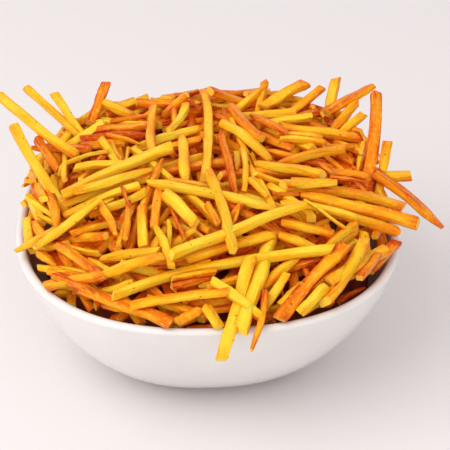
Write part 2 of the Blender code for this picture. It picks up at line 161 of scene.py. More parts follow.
# %% [markdown]
# ## Helpers for materials
# Colours are written as the hex values a painter would read off a chart. Those are sRGB, and shaders
# count in linear light, so one function converts them. The others add nodes and link their inputs.

# %% Colours and nodes


def linear(code):
    """Linear RGBA of an sRGB hex colour: ((c + 0.055) / 1.055) ^ 2.4 above the toe, c / 12.92 in it."""
    shares = [int(code[i:i + 2], 16) / 255 for i in (1, 3, 5)]
    return (*(((c + 0.055) / 1.055) ** 2.4 if c > 0.04045 else c / 12.92 for c in shares), 1.0)


def new_material(name):
    material = bpy.data.materials.new(name)
    material.use_nodes = True
    return material, material.node_tree.nodes["Principled BSDF"]


def fill(owner, node, inputs):
    """Fill inputs of a node, each with a value or from another node's output socket."""
    for key, value in inputs.items():
        if isinstance(value, bpy.types.NodeSocket):
            owner.node_tree.links.new(value, node.inputs[key])
        else:
            node.inputs[key].default_value = value


def add_node(material, kind, settings=None, **inputs):
    """Add a shader node. Settings are its properties, and the rest are its inputs. An input's name
    has _ for a space, and in_0, in_1 mean the first, the second input."""
    node = material.node_tree.nodes.new("ShaderNode" + kind)
    for key, value in (settings or {}).items():
        setattr(node, key, value)
    fill(material, node, {int(key[3:]) if key.startswith("in_") else key.replace("_", " "): value
                          for key, value in inputs.items()})
    return node


def ramp(material, factor, *stops):
    """A colour ramp through (place, hex colour) stops."""
    node = add_node(material, "ValToRGB", in_0=factor)
    elements = node.color_ramp.elements
    while len(elements) < len(stops):
        elements.new(0.5)
    for element, (place, colour) in zip(elements, stops):
        element.position = place
        element.color = linear(colour)
    return node.outputs["Color"]


def mixed(material, factor, first, second):
    """Second colour over the first."""
    node = add_node(material, "Mix", {"data_type": "RGBA"}, in_0=factor, in_6=first, in_7=second)
    return node.outputs[2]


def remap(material, value, low, high, first, last):
    """From first to last as the value goes from low to high."""
    return add_node(material, "MapRange", in_0=value, in_1=low, in_2=high, in_3=first, in_4=last).outputs[0]


def sum_of(material, operation, *values):
    """A Math node on values or sockets."""
    inputs = {f"in_{i}": value for i, value in enumerate(values)}
    return add_node(material, "Math", {"operation": operation}, **inputs).outputs[0]


# %% [markdown]
# ## The bowl's form
# Each level of the bowl is the same rounded square, |x|^p + |y|^p = half^p, a form between a circle
# (p = 2) and a square. The side is a quarter of a similar curve: steep at the lip and rounding in to
# the foot. The heap's outside is worked out from the same half-width, so that it meets the wall.

# %% Bowl profile
SQUARENESS = 2.4
FOOT_HALF = 34 * MM
FOOT_HEIGHT = 2 * MM
BELLY_HALF = 36 * MM        # where the outer wall leaves the foot
WALL = 3.6 * MM
FLOOR = 5 * MM              # height of the flat floor inside
WELL_HALF = 34 * MM         # half of the floor's width
FLARE = 1.4                 # 1 is a straight wall, larger is rounder

bowl_low, bowl_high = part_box("bowl")
BOWL_HEIGHT = 51 * MM
RIM_HALF = 70 * MM
INNER_HALF = RIM_HALF - WALL


def half_at(x, y, power=SQUARENESS):
    """Half-width of the rounded square that passes through a point: (|x|^p + |y|^p)^(1/p)."""
    return (np.abs(x) ** power + np.abs(y) ** power) ** (1 / power)


def swell(share):
    """Rises from 0 to 1, quickly at first and upright at the end, as a bowl's side does."""
    return (1 - (1 - np.clip(share, 0, 1)) ** FLARE) ** (1 / FLARE)


def outer_half(z):
    return BELLY_HALF + (RIM_HALF - BELLY_HALF) * swell((z - FOOT_HEIGHT) / (BOWL_HEIGHT - FOOT_HEIGHT))


def inner_half(z):
    return WELL_HALF + (INNER_HALF - WELL_HALF) * swell((z - FLOOR) / (BOWL_HEIGHT - FLOOR))


def inner_height(half):
    """Height of the inner wall at a half-width: the inverse of inner_half."""
    share = np.clip((half - WELL_HALF) / (INNER_HALF - WELL_HALF), 0, 1)
    return FLOOR + (BOWL_HEIGHT - FLOOR) * (1 - (1 - share ** FLARE) ** (1 / FLARE))


def lip_height(half):
    """Top of the half-round lip."""
    across = np.clip(np.abs(half - (RIM_HALF - WALL / 2)) / (WALL / 2), 0, 1)
    return BOWL_HEIGHT - WALL / 2 * (1 - np.sqrt(1 - across ** 2))


def rounded_squares(half, height, sides):
    """Rings of points, one for each half-width: radius = half / half_at(cos, sin)."""
    turn = np.arange(sides) * 2 * math.pi / sides
    cos, sin = np.cos(turn), np.sin(turn)
    radius = half[:, None] / half_at(cos, sin)
    return np.stack((radius * cos, radius * sin, np.broadcast_to(height[:, None], radius.shape)), -1)


print("bowl", np.round((np.array(bowl_high) - bowl_low) / MM, 1))

# %% Bowl surface
BOWL_SIDES = 168
WALL_RINGS = 26
LIP_RINGS = 11
FOOT_ROUND = 0.7 * MM


def bowl_profile():
    """(half-width, height) down the middle of the base, up the outside, over the lip and in again."""
    quarter = np.linspace(-math.pi / 2, 0, 5)
    foot = np.stack((FOOT_HALF - FOOT_ROUND + FOOT_ROUND * np.cos(quarter),
                     FOOT_ROUND + FOOT_ROUND * np.sin(quarter)), -1)
    base = np.stack((FOOT_HALF * np.linspace(0.1, 0.95, 6), np.zeros(6)), -1)
    low = np.linspace(0, 1, WALL_RINGS) ** 1.6
    lip = BOWL_HEIGHT - WALL / 2
    z = FOOT_HEIGHT + (lip - FOOT_HEIGHT) * low
    outside = np.stack((outer_half(z), z), -1)
    turn = np.linspace(0, math.pi, LIP_RINGS)[1:-1]
    over = np.stack((RIM_HALF - WALL / 2 + WALL / 2 * np.cos(turn), lip + WALL / 2 * np.sin(turn)), -1)
    z = FLOOR + (lip - FLOOR) * low[::-1]
    inside = np.stack((inner_half(z), z), -1)
    floor = np.stack((WELL_HALF * np.linspace(0.9, 0.1, 5), np.full(5, FLOOR)), -1)
    return np.concatenate((base, foot, [(FOOT_HALF, FOOT_HEIGHT * 0.8)], outside, over, inside, floor))


def bowl_mesh():
    profile = bowl_profile()
    rings = rounded_squares(profile[:, 0], profile[:, 1], BOWL_SIDES)
    return closed_mesh("bowl", rings, [(0, 0, profile[0, 1]), (0, 0, profile[-1, 1])])


# %% [markdown]
# ## Glazed porcelain
# White porcelain is dipped in a clear glaze and fired, which leaves a thin glass skin: a white body
# under a sharp reflection. The glaze is never quite even, so a very slow ripple bends the
# reflection, and it is wiped off the foot ring, where the bare body is matt and a little greyer.

# %% Porcelain
GLAZE_IOR = 1.5
GLOSS = 0.13                # roughness of the glaze
BARE_ROUGHNESS = 0.7
BARE_HEIGHT = 1.2 * MM      # up to here the foot ring is bare


def glazed_porcelain():
    material, shader = new_material("glazed_porcelain")
    place = add_node(material, "TexCoord").outputs["Object"]
    height = add_node(material, "SeparateXYZ", Vector=place).outputs["Z"]
    bare = sum_of(material, "LESS_THAN", height, BARE_HEIGHT)
    body = add_node(material, "TexNoise", Vector=place, Scale=1 / (30 * MM), Detail=2.0)
    white = ramp(material, body.outputs["Fac"], (0.35, "#E4E2DF"), (0.65, "#E9E7E4"))
    ripple = add_node(material, "TexNoise", Vector=place, Scale=1 / (14 * MM), Detail=1.0)
    bump = add_node(material, "Bump", Height=ripple.outputs["Fac"], Distance=0.15 * MM,
                    Strength=0.5)
    fill(material, shader, {
        "Base Color": mixed(material, bare, white, linear("#DAD5CC")),
        "Roughness": remap(material, bare, 0.0, 1.0, GLOSS, BARE_ROUGHNESS),
        "IOR": GLAZE_IOR,
        "Normal": bump.outputs[0],
    })
    return material


add_piece("porcelain_bowl", bowl_mesh(), glazed_porcelain(), "bowl")

# %% [markdown]
# ## The heap's outside
# The sticks slope down to the lip in front and make a full shoulder at the back that leans out over
# the lip. The outside of the heap is a dome over the mouth, 1 - spread^fullness, where spread is the
# share of the way from the middle to the edge and fullness grows from front to back.

# %% Heap outline
EDGE_DROP = 2.5 * MM        # how far below the lip the heap meets the wall
CROWN = 26.5 * MM           # how far the middle stands above that
FRONT_FULLNESS = 2.2
BACK_FULLNESS = 9.0
SHOULDER = 0.6
OVERHANG = 8 * MM           # how far the back shoulder leans out past the mouth
LEAN_BACK = 3 * MM
LEAN_RIGHT = 2 * MM
CLEARANCE = 0.4 * MM        # from the heap to the bowl


def backness(y):
    """0 at the front of the mouth, 1 at the back."""
    return np.clip((1 + y / INNER_HALF) / 2, 0, 1)


def heap_half(y):
    """Half-width of the heap: it ends at the wall in front and leans out past it at the back."""
    return INNER_HALF + OVERHANG * backness(y)


def heap_height(x, y):
    """Outside of the heap: a dome that slopes to the front lip and leans over the back one."""
    back = backness(y)
    spread = np.clip(half_at(x, y) / heap_half(y), 0, 1)
    fullness = FRONT_FULLNESS + (BACK_FULLNESS - FRONT_FULLNESS) * back
    dome = (1 - spread ** fullness) ** SHOULDER
    return BOWL_HEIGHT - EDGE_DROP + CROWN * dome + (LEAN_BACK * y + LEAN_RIGHT * x) / INNER_HALF


def clear_of_bowl(points):
    """True for each point that keeps its distance from the bowl."""
    half = half_at(points[..., 0], points[..., 1])
    z = points[..., 2]
    above = z > lip_height(half) + CLEARANCE
    low = z < BOWL_HEIGHT
    inside = half < np.where(low, inner_half(z), INNER_HALF) - CLEARANCE
    outside = half > np.where(low, outer_half(z), RIM_HALF) + CLEARANCE
    return above | inside | outside


# %% [markdown]
# ## Letting sticks down one by one
# A heap could be simulated with rigid bodies, but that is slow and drifts. Here it is laid, with a
# height map of all that lies in the bowl so far. A new stick is let down onto the map and rests on
# the two highest supports either side of its middle, as a real one does, and then raises the map
# where it lies. The draws are seeded, so the same sticks fall in the same places every time.

# %% Stick and height map
STICK_WIDTH = 3.4 * MM
STICK_THICKNESS = 3.0 * MM
BITE = 1.0 * MM             # how far a stick sinks into what carries it
PROUD = 2.0 * MM            # how far a loose stick may stand out of the heap
BACK_DIP = 4.5 * MM         # how much less it may at the back, where long sticks stand out
STEEPEST = 1.0              # largest slope of a loose stick
SHIFTS = (-0.4, 0.4)        # of a stick along itself, off the place drawn for it, as a share
WIDTHS = (0.5, 1.05)        # spread of the widths, as shares of the usual one
THICKNESSES = (0.7, 1.2)
SWAYS = (-0.05, 0.05)       # bow to one side, as a share of the length
ARCHES = (-0.02, 0.04)      # bow upwards
WALL_SHARE = 0.22           # outer share of the way to the wall where sticks begin to lie along it
ALONG_WALL = 0.25           # how freely they still turn at the wall itself, as a share
LIFT = 0.25 * MM            # step by which a stick is lifted off the bowl
LIFTS = 12
BED_DEPTH = 16 * MM         # depth of the bare bed below the outside
CELL = 1.0 * MM             # of the height map
RELIEF_HALF = 110.3 * MM
CELLS = int(2 * RELIEF_HALF / CELL) + 1


def cell(x, y):
    """Column and row of the height map under each point."""
    column = np.rint((x + RELIEF_HALF) / CELL).astype(int)
    row = np.rint((y + RELIEF_HALF) / CELL).astype(int)
    return np.clip(column, 0, CELLS - 1), np.clip(row, 0, CELLS - 1)


class Relief:
    """Height map of the bowl and of everything laid in it so far, and of the roof above it."""

    def __init__(self):
        axis = np.arange(CELLS) * CELL - RELIEF_HALF
        self.x, self.y = np.meshgrid(axis, axis, indexing="ij")
        half = half_at(self.x, self.y)
        outside = heap_height(self.x, self.y)
        bowl = np.where(half < INNER_HALF, inner_height(half), lip_height(half))
        bed = np.where(half < INNER_HALF - CLEARANCE, outside - BED_DEPTH, 0)
        self.z = np.where(half < RIM_HALF, np.maximum(bowl, bed), 0)
        self.roof = outside + PROUD - BACK_DIP * backness(self.y) ** 2
        self.mouth = half < INNER_HALF

    def read(self, x, y):
        return self.z[cell(x, y)]

    def lay(self, stick):
        """Raise the map to the stick's upper face."""
        cells, z = stick.footprint(0.5)
        np.maximum.at(self.z, cells, z)

    def cover(self, stick):
        """Lower the roof to the stick's lower face."""
        cells, z = stick.footprint(-0.5)
        np.minimum.at(self.roof, cells, z + BITE)

    def emptiest(self, share):
        """A place in the mouth, the likelier the more room is left above it."""
        room = np.clip(self.roof - self.z, 0, None) ** 2 * self.mouth
        total = np.cumsum(room)
        place = int(np.searchsorted(total, share * total[-1]))
        return self.x.flat[place], self.y.flat[place]


class Stick:
    """A thin square stick with a slight bow. Its length and places are measured in plan."""

    def __init__(self, x, y, heading, length, width, thickness, sway=0.0, arch=0.0):
        self.x, self.y, self.heading, self.length = x, y, heading, length
        self.width, self.thickness = width, thickness
        self.sway, self.arch = sway, arch
        self.z, self.slope = 0.0, 0.0

    def point(self, along, across, up):
        """A point of the stick: each share runs from -0.5 to 0.5 along, across or upwards."""
        bow = 1 / 3 - (2 * along) ** 2
        cos, sin = math.cos(self.heading), math.sin(self.heading)
        level = 1 / math.sqrt(1 + self.slope ** 2)
        run = along * self.length - up * self.thickness * self.slope * level
        side = across * self.width + self.sway * bow
        x = self.x + run * cos - side * sin
        y = self.y + run * sin + side * cos
        z = self.z + along * self.length * self.slope + self.arch * bow + up * self.thickness * level
        return x, y, z

    def footprint(self, up):
        """Cells of the map under the stick, and the height of its upper or lower face there."""
        along = np.linspace(-0.5, 0.5, int(self.length / CELL * 2) + 2)
        x, y, z = self.point(along[:, None], np.linspace(-0.5, 0.5, 8)[None, :], up)
        return cell(x, y), np.broadcast_to(z, x.shape)

    def skin(self):
        """Points spread over the whole surface."""
        along, across, up = np.meshgrid(np.linspace(-0.5, 0.5, 31), (-0.5, 0, 0.5), (-0.5, 0, 0.5))
        return np.stack(self.point(along, across, up), -1)

    def rest_on(self, relief):
        """Let the stick down until it lies on its highest supports either side of its middle."""
        along = np.linspace(-0.5, 0.5, int(self.length / CELL) | 1)
        across = np.array((-0.4, 0, 0.4))
        self.z, self.slope = 0.0, 0.0
        x, y, bow = self.point(along[:, None], across[None, :], 0)
        lift = relief.read(x, y).max(1) - bow[:, 0] + self.thickness / 2 - BITE
        middle = len(along) // 2
        run = along * self.length
        near, far = run[:middle + 1, None], run[None, middle:]
        span = np.where(far > near, far - near, 1)
        height = (lift[:middle + 1, None] * far - lift[None, middle:] * near) / span
        height[middle, 0] = lift[middle]
        first, second = divmod(int(np.argmax(height.round(7))), middle + 1)
        rise = lift[middle + second] - lift[first]
        self.slope = round(float(rise / span[first, second]), 5)
        self.z = round(float(height[first, second]), 6)
        return self.lifted_clear()

    def lifted_clear(self):
        """Lift the stick a little at a time until it is clear of the bowl, and say if it is."""
        for _ in range(LIFTS):
            if self.clear():
                return True
            self.z = round(self.z + LIFT, 6)
        return False

    def follow(self, depth, reach=0.7):
        """Lie along the outside of the heap at a depth below it, measured at a share of the length."""
        x, y, _ = self.point(np.array((-0.5, 0.5)) * reach, 0, 0)
        low, high = heap_height(x, y) - depth
        self.z = round(float(low + high) / 2, 6)
        self.slope = round(float((high - low) / (reach * self.length)), 5)

    def clear(self):
        return bool(clear_of_bowl(self.skin()).all())

    def inside(self, beyond=PROUD):
        """True where both ends keep within the heap, or no farther beyond it than given."""
        x, y, _ = self.point(np.array((-0.5, 0.5)), 0, 0)
        return bool((half_at(x, y) < heap_half(y) + beyond).all())

    def room(self, relief):
        """Mean room left above the stick, or None where it is steep, too high or out of the heap."""
        x, y, z = self.point(np.linspace(-0.5, 0.5, 21), 0, 0.5)
        left = relief.roof[cell(x, y)] - z
        if abs(self.slope) > STEEPEST or left.min() < 0 or not self.inside():
            return None
        return float(left.mean())


# %% [markdown]
# ## Sticks with a place of their own
# A few long sticks lie across the outside and give the heap its look, and some stand out over the
# lip. Those that lie are given by their two ends seen from above, and each is raised over the ones
# it crosses. Those that stand out are given by both ends in space. Each row ends with the width and
# the bow, both as shares, and how browned the stick is, from 0, pale, to 1, burnt.

# %% Laid and propped sticks
LAID_DEPTH = 3.4 * MM       # of the ends of the laid sticks below the outside
RISES = 14                  # steps of LIFT a laid stick may rise over those it crosses
SLIDE = 1.47                # how far it slides to the front for each step up

# x, y, x, y of both ends in mm, width, bow, browning
LAID = (
    (-60, -26, -55, -34, 1.0, 0.0, 0.3),
    (-56, -35, -46, -43, 1.1, 0.0, 0.2),
    (-54, -38, -40, -50, 1.2, 0.02, 0.55),
    (-62, -12, -58, -24, 1.0, 0.0, 0.3),
    (-39, -53, -28, -57, 1.0, 0.0, 0.4),
    (52, -42, 38, -52, 1.0, 0.0, 0.45),
    (-46, 28, -20, 26, 1.1, 0.03, 0.8),
    (-39, 32, -20, 32, 1.0, 0.0, 0.5),
    (-18, 46, -19, 10, 1.0, -0.03, 0.4),
    (-57, -2, -54, -22, 1.0, 0.03, 0.35),
    (-24, -20, -24, -40, 1.1, 0.0, 0.18),
    (-39, -40, -19, -42, 1.0, 0.03, 0.15),
    (-53, -29, -38, -46, 1.0, 0.02, 0.55),
    (-42, -45, -18, -44, 1.0, 0.02, 0.3),
    (-18, -11, -20, -32, 1.0, 0.0, 0.3),
    (-20, -31, -15, -48, 0.9, 0.03, 0.2),
    (-52, -10, -20, -3, 1.1, 0.02, 0.12),
    (-52, -6, -12, 16, 1.3, 0.02, 0.08),
    (-48, -6, -20, 2, 0.9, -0.02, 0.15),
    (-8, 24, -8, -7, 1.3, 0.0, 0.3),
    (-62, -22, -40, -15, 1.4, -0.02, 0.05),
    (-16, -14, -6, -32, 1.4, 0.03, 0.1),
    (2, 59, -1, -5, 1.1, 0.03, 0.3),
    (7, 32, 23, 4, 1.3, 0.06, 0.12),
    (18, 2, 41, -6, 1.0, 0.02, 0.25),
    (26, 2, 52, 13, 1.0, 0.03, 0.32),
    (30, 26, 59, 26, 1.1, 0.0, 0.35),
    (26, -12, 44, -10, 1.3, 0.0, 0.22),
    (-22, -6, 22, -26, 1.2, 0.03, 0.08),
    (24, -32, 42, -35, 1.1, 0.0, 0.26),
    (23, -38, 38, -43, 1.0, 0.03, 0.26),
    (53, -30, 54, -42, 1.0, 0.0, 0.25),
    (38, -51, 61, -30, 1.4, 0.02, 0.35),
    (49, -46, 57, -35, 0.8, 0.0, 0.5),
    (27, -60, 37, -52, 1.0, 0.0, 0.15),
    (20, -62, 45, -38, 1.4, 0.02, 0.55),
    (36, -56, 52, -34, 1.4, -0.03, 0.25),
    (15, -61, 24, -51, 1.0, 0.0, 0.15),
    (-46, -46, -16, -62, 1.3, 0.02, 0.5),
    (-29, -56, 4, -56, 1.2, 0.03, 0.25),
    (-58, -38, -38, -46, 1.0, 0.0, 0.4),
    (-14, -62, -6, -60, 0.9, 0.0, 0.35),
    (-10, -46, 20, -38, 1.1, 0.02, 0.2),
    (-15, -44, 32, -24, 1.1, 0.02, 0.1),
    (0, -2, 6, -44, 1.0, 0.02, 0.15),
    (-35, -52, 40, -41, 1.0, 0.06, 0.1),
    (-4, -60, 0, -64, 1.0, 0.0, 0.1),
    (-2, -53, 14, -62, 1.0, 0.03, 0.08),
)
# x, y, z of the buried end and of the free end in mm, width, bow, browning
PROPPED = (
    ((-47, 14, 71), (-76, 42, 82), 1.0, 0.03, 0.15),
    ((-44, 33, 66), (-67, 57, 77), 0.8, 0.0, 0.1),
    ((-44, 34, 66), (-56, 50, 78), 0.8, 0.0, 0.1),
    ((-51, -8, 60), (-70, 22, 80), 1.1, 0.02, 0.12),
    ((-54, 11, 67), (-62, 24, 73), 0.8, 0.0, 0.55),
    ((-42, 20, 70), (-64, 24, 69), 1.0, 0.0, 0.5),
    ((-42, 40, 70), (-36, 58, 77), 1.2, 0.0, 0.55),
    ((-26, 43, 71), (-37, 48, 74), 1.0, 0.0, 0.25),
    ((18, 52, 70), (4, 48, 78), 1.0, -0.03, 0.45),
    ((12, 45, 69), (26, 55, 76), 0.9, 0.0, 0.2),
    ((-14, 44, 70), (-5, 48, 77), 0.8, 0.0, 0.3),
    ((22, 44, 68), (26, 58, 76), 0.8, 0.0, 0.3),
    ((24, 45, 72), (42, 58, 75), 1.3, 0.02, 0.2),
    ((34, 42, 70), (48, 54, 75), 1.0, 0.0, 0.45),
    ((48, 41, 64), (54, 58, 77), 1.2, 0.0, 0.25),
    ((48, 40, 72), (66, 48, 78), 1.5, -0.02, 0.56),
    ((50, 32, 69), (60, 42, 75), 1.0, 0.0, 0.3),
    ((51, 29, 67), (62, 36, 73), 1.0, 0.0, 0.25),
    ((58, -1, 60), (66, 35, 82), 1.4, -0.03, 0.55),
    ((62, -2, 56), (68, 15, 73), 1.0, 0.0, 0.25),
    ((44, 4, 64), (76, 6, 63), 1.1, 0.0, 0.25),
    ((62, 4, 66), (86, -10, 50), 1.7, 0.03, 0.58),
    ((27, -16, 73), (70, -14, 62), 1.2, 0.08, 0.42),
    ((32, -18, 71), (74, -22, 60), 1.4, 0.02, 0.38),
    ((38, -23, 68), (66, -25, 59), 1.1, 0.02, 0.32),
    ((-45, -18, 64), (-69, -24, 55), 1.1, 0.0, 0.15),
    ((53, -42, 54), (66, -26, 55), 1.2, 0.0, 0.56),
    ((12, -46, 64), (0, -81, 48), 1.3, 0.0, 0.08),
    ((20, -36, 66), (7, -72, 53), 1.6, 0.0, 0.15),
    ((16, -58, 58), (10, -78, 49), 0.7, 0.04, 0.6),
)


def stick_between(start, end, share, bow):
    """A stick from one end to the other, seen from above in mm, bowed to its left by a share."""
    run, side = (end[0] - start[0]) * MM, (end[1] - start[1]) * MM
    sway = bow * math.hypot(run, side)
    x = (start[0] + end[0]) / 2 * MM - 2 / 3 * bow * side
    y = (start[1] + end[1]) / 2 * MM + 2 / 3 * bow * run
    return Stick(x, y, math.atan2(side, run), math.hypot(run, side), STICK_WIDTH * share,
                 STICK_THICKNESS, sway)


def laid_sticks():
    """Sticks on the outside, in order: each rises over those it crosses and slides to the front."""
    crossed = Relief()
    crossed.z[:] = 0
    sticks = []
    for x1, y1, x2, y2, share, bow, _ in LAID:
        stick = stick_between((x1, y1), (x2, y2), share, bow)
        stick.follow(LAID_DEPTH, 1.0)
        for _ in range(RISES):
            cells, z = stick.footprint(-0.5)
            if (crossed.z[cells] - z).max() < BITE and stick.clear():
                break
            stick.z = round(stick.z + LIFT, 6)
            stick.y = round(stick.y - LIFT * SLIDE, 6)
        if not stick.lifted_clear():
            raise ValueError(f"the stick from {x1}, {y1} can't lie clear of the bowl")
        crossed.lay(stick)
        sticks.append(stick)
    return sticks


def propped_sticks():
    """Sticks that stand out of the heap, straight from end to end but for their bow."""
    sticks = []
    for root, tip, share, bow, _ in PROPPED:
        stick = stick_between(root, tip, share, bow)
        stick.z = (root[2] + tip[2]) / 2 * MM
        stick.slope = (tip[2] - root[2]) * MM / stick.length
        if not stick.clear():
            raise ValueError(f"the stick from {root} cuts the bowl")
        sticks.append(stick)
    return sticks


laid, propped = laid_sticks(), propped_sticks()
print(len(laid), "laid on the outside,", len(propped), "propped")

# %% [markdown]
# ## Filling the bowl
# Then the heap is filled up to a roof: its outside, or the underside of the sticks laid above. First
# comes a bed of sticks side by side, well below: they are what shows in the gaps. Then short sticks
# are let down along the wall, and loose ones all over, long ones first. Each is tried in several
# places and takes the deepest, so that the heap closes up.

# %% Bed and loose sticks
SHORTEST = 16 * MM
LONGEST = 80 * MM
BED_STICKS = 190            # laid side by side, well below the outside of the heap
BED_TRIES = 7
BED_DEPTHS = (9 * MM, 14 * MM)
BED_LENGTHS = (22 * MM, 60 * MM)
BED_INSET = 4 * MM          # from the sides of the heap to the ends of its bed
EDGE_STICKS = 330           # laid along the wall, in rounds from below upwards
EDGE_ROUNDS = 6
EDGE_TRIES = 6
EDGE_AWAY = (2 * MM, 16 * MM)       # from the wall at the lip to their middles
EDGE_TURNS = (-0.6, 0.6)            # out of line with the wall, radians
EDGE_LENGTHS = (12 * MM, 30 * MM)
LOOSE_STICKS = 300
TRIES = 14                  # places tried for each stick
SHORTENING = 0.8            # how much of the longest length the first sticks may get
SEED = 7


def between(draw, span):
    """A number drawn evenly from low to high."""
    low, high = span
    return low + (high - low) * draw.random()


def drawn_stick(draw, relief, length, share=1.0):
    """A stick of a given length and share of the usual build, with a place and heading of its own."""
    x, y = relief.emptiest(draw.random())
    inward = np.clip((1 - half_at(x, y) / INNER_HALF) / WALL_SHARE, ALONG_WALL, 1)
    heading = math.atan2(x, -y) + math.pi * (draw.random() - 0.5) * inward
    shift = between(draw, SHIFTS) * length
    width = STICK_WIDTH * between(draw, WIDTHS) * share
    thickness = STICK_THICKNESS * between(draw, THICKNESSES) * share
    sway = between(draw, SWAYS) * length
    arch = between(draw, ARCHES) * length
    x, y = x + shift * math.cos(heading), y + shift * math.sin(heading)
    return Stick(x, y, heading, length, width, thickness, sway, arch)


def bed_sticks(relief, draw):
    """Sticks that follow the heap's outside at a depth, side by side."""
    sticks = []
    for _ in range(BED_STICKS):
        length = between(draw, BED_LENGTHS)
        depth = between(draw, BED_DEPTHS)
        best, most = None, -1.0
        for _ in range(BED_TRIES):
            stick = drawn_stick(draw, relief, length)
            stick.follow(depth)
            x, y, z = stick.point(np.linspace(-0.5, 0.5, 13), 0, 0)
            free = float((z - relief.read(x, y)).mean())
            if free > most and stick.inside(-BED_INSET) and stick.clear():
                best, most = stick, free
        if best:
            relief.lay(best)
            sticks.append(best)
    return sticks


def stick_by_wall(draw, turn, away, lengths, freedom):
    """A stick along the wall at a turn round the bowl, some way off the wall and a little askew."""
    half = INNER_HALF - between(draw, away)
    radius = half / half_at(math.cos(turn), math.sin(turn))
    x, y = radius * math.cos(turn), radius * math.sin(turn)
    heading = math.atan2(x, -y) + between(draw, EDGE_TURNS) * freedom
    return Stick(x, y, heading, between(draw, lengths), STICK_WIDTH * between(draw, WIDTHS),
                 STICK_THICKNESS * between(draw, THICKNESSES))


def lay_deepest(relief, sticks, tried, lift=0.0, beyond=PROUD):
    """Let down every stick tried, and lay the one that leaves most room above it."""
    best, most = None, -1.0
    for stick in tried:
        if stick.rest_on(relief):
            stick.z += lift
            room = stick.room(relief)
            if room is not None and room > most and stick.inside(beyond):
                best, most = stick, room
    if best:
        relief.lay(best)
        sticks.append(best)


def edge_sticks(relief, draw):
    """Short sticks along the wall, where longer ones don't fit, from below upwards."""
    sticks = []
    for turn in np.linspace(0, 2 * math.pi * EDGE_ROUNDS, EDGE_STICKS, endpoint=False):
        tried = [stick_by_wall(draw, turn, EDGE_AWAY, EDGE_LENGTHS, 1) for _ in range(EDGE_TRIES)]
        lay_deepest(relief, sticks, tried)
    return sticks


def loose_sticks(relief, draw):
    """Fill the heap up to its roof: each stick takes the deepest of the places tried for it."""
    sticks = []
    for reach in np.linspace(LONGEST, SHORTEST, LOOSE_STICKS):
        length = between(draw, (SHORTEST, SHORTEST + SHORTENING * reach))
        lay_deepest(relief, sticks, [drawn_stick(draw, relief, length) for _ in range(TRIES)])
    return sticks


relief = Relief()
for stick in laid + propped:
    relief.cover(stick)
draw = np.random.default_rng(SEED)
bed = bed_sticks(relief, draw)
loose = edge_sticks(relief, draw) + loose_sticks(relief, draw)
print(len(bed), "bed sticks,", len(loose), "loose sticks")

# %% [markdown]
# ## Slips
# The last cuts of a root are thin. These slips rest on the sticks wherever there is room left
# below the roof, and they break up the gaps between the thicker ones.

# %% Slips
SLIPS = 240
SLIP_TRIES = 8
SLIP_LENGTHS = (9 * MM, 34 * MM)
SLIP_SHARES = (0.5, 0.85)   # their width and thickness, as shares of a usual stick's
SLIP_LIFT = 0.5 * MM        # a slip sinks in less than a stick


def slip_sticks(relief, draw):
    """Thin sticks let down like the loose ones, each into the deepest of the places tried."""
    sticks = []
    for _ in range(SLIPS):
        length = between(draw, SLIP_LENGTHS)
        share = between(draw, SLIP_SHARES)
        tried = [drawn_stick(draw, relief, length, share) for _ in range(SLIP_TRIES)]
        lay_deepest(relief, sticks, tried, SLIP_LIFT, -BED_INSET)
    return sticks


slips = slip_sticks(relief, draw)
print(len(slips), "slips")

# %% [markdown]
# ## Under the shoulder
# At the back the heap stands upright above the lip. Short sticks along the wall close that side,
# each at a height of its own between the lip and the shoulder. They aren't let down, so they pass
# through one another.

# %% Shoulder sticks
SHOULDER_STICKS = 200
SHOULDER_SPAN = (0.1, 0.86)         # of half turns, from the right side round the back to the left
SHOULDER_AWAY = (-1 * MM, 7 * MM)   # from the inner wall to their middles
SHOULDER_LEVELS = (BOWL_HEIGHT + 1 * MM, BOWL_HEIGHT + 17 * MM)
SHOULDER_DEPTH = 5 * MM     # at least this far below the outside of the heap
SHOULDER_LENGTHS = (14 * MM, 32 * MM)
SHOULDER_FREEDOM = 0.5      # they turn half as freely as those inside the bowl


def shoulder_sticks(draw):
    """Sticks along the wall round the back, where they are clear of the bowl."""
    sticks = []
    for _ in range(SHOULDER_STICKS):
        turn = math.pi * between(draw, SHOULDER_SPAN)
        stick = stick_by_wall(draw, turn, SHOULDER_AWAY, SHOULDER_LENGTHS, SHOULDER_FREEDOM)
        stick.z = between(draw, SHOULDER_LEVELS)
        stick.slope = between(draw, EDGE_TURNS) / 3
        low = stick.z < heap_height(stick.x, stick.y) - SHOULDER_DEPTH
        if low and stick.inside(0) and stick.lifted_clear():
            sticks.append(stick)
    return sticks


shoulder = shoulder_sticks(draw)
print(len(shoulder), "shoulder sticks")

# %% [markdown]
# ## The shape of one fried stick
# A knife leaves a square section, and frying shrinks it unevenly: the stick twists a little, its
# faces sink between their edges, its width comes and goes, one end may dry to a point, and the ends
# keep the slant of the cut. A stick is a closed profile carried along a bowed line. All sticks of a
# kind are worked out together: the axes of every array are the stick, the ring and the section.

# %% Section and stations
CORNER_ANGLES = (0, 30, 45, 60)     # degrees within each quarter: a flat face, then a worn corner
SECTION_POWER = 4.2                 # 2 is round, larger is squarer
EDGE_POWER = 6                      # larger keeps the wear closer to the edges
RINGS = 24
CROWDING = 1.6                      # 1 spaces the rings evenly, larger crowds them at the ends


def stick_section():
    """(across, up) shares of a rounded square, and how near each point is to an edge, |sin 2t|^n."""
    angles = np.radians([quarter + corner for quarter in (0, 90, 180, 270) for corner in CORNER_ANGLES])
    cos, sin = np.cos(angles), np.sin(angles)
    size = 0.5 / half_at(cos, sin, SECTION_POWER)
    return size * cos, size * sin, np.abs(np.sin(2 * angles)) ** EDGE_POWER


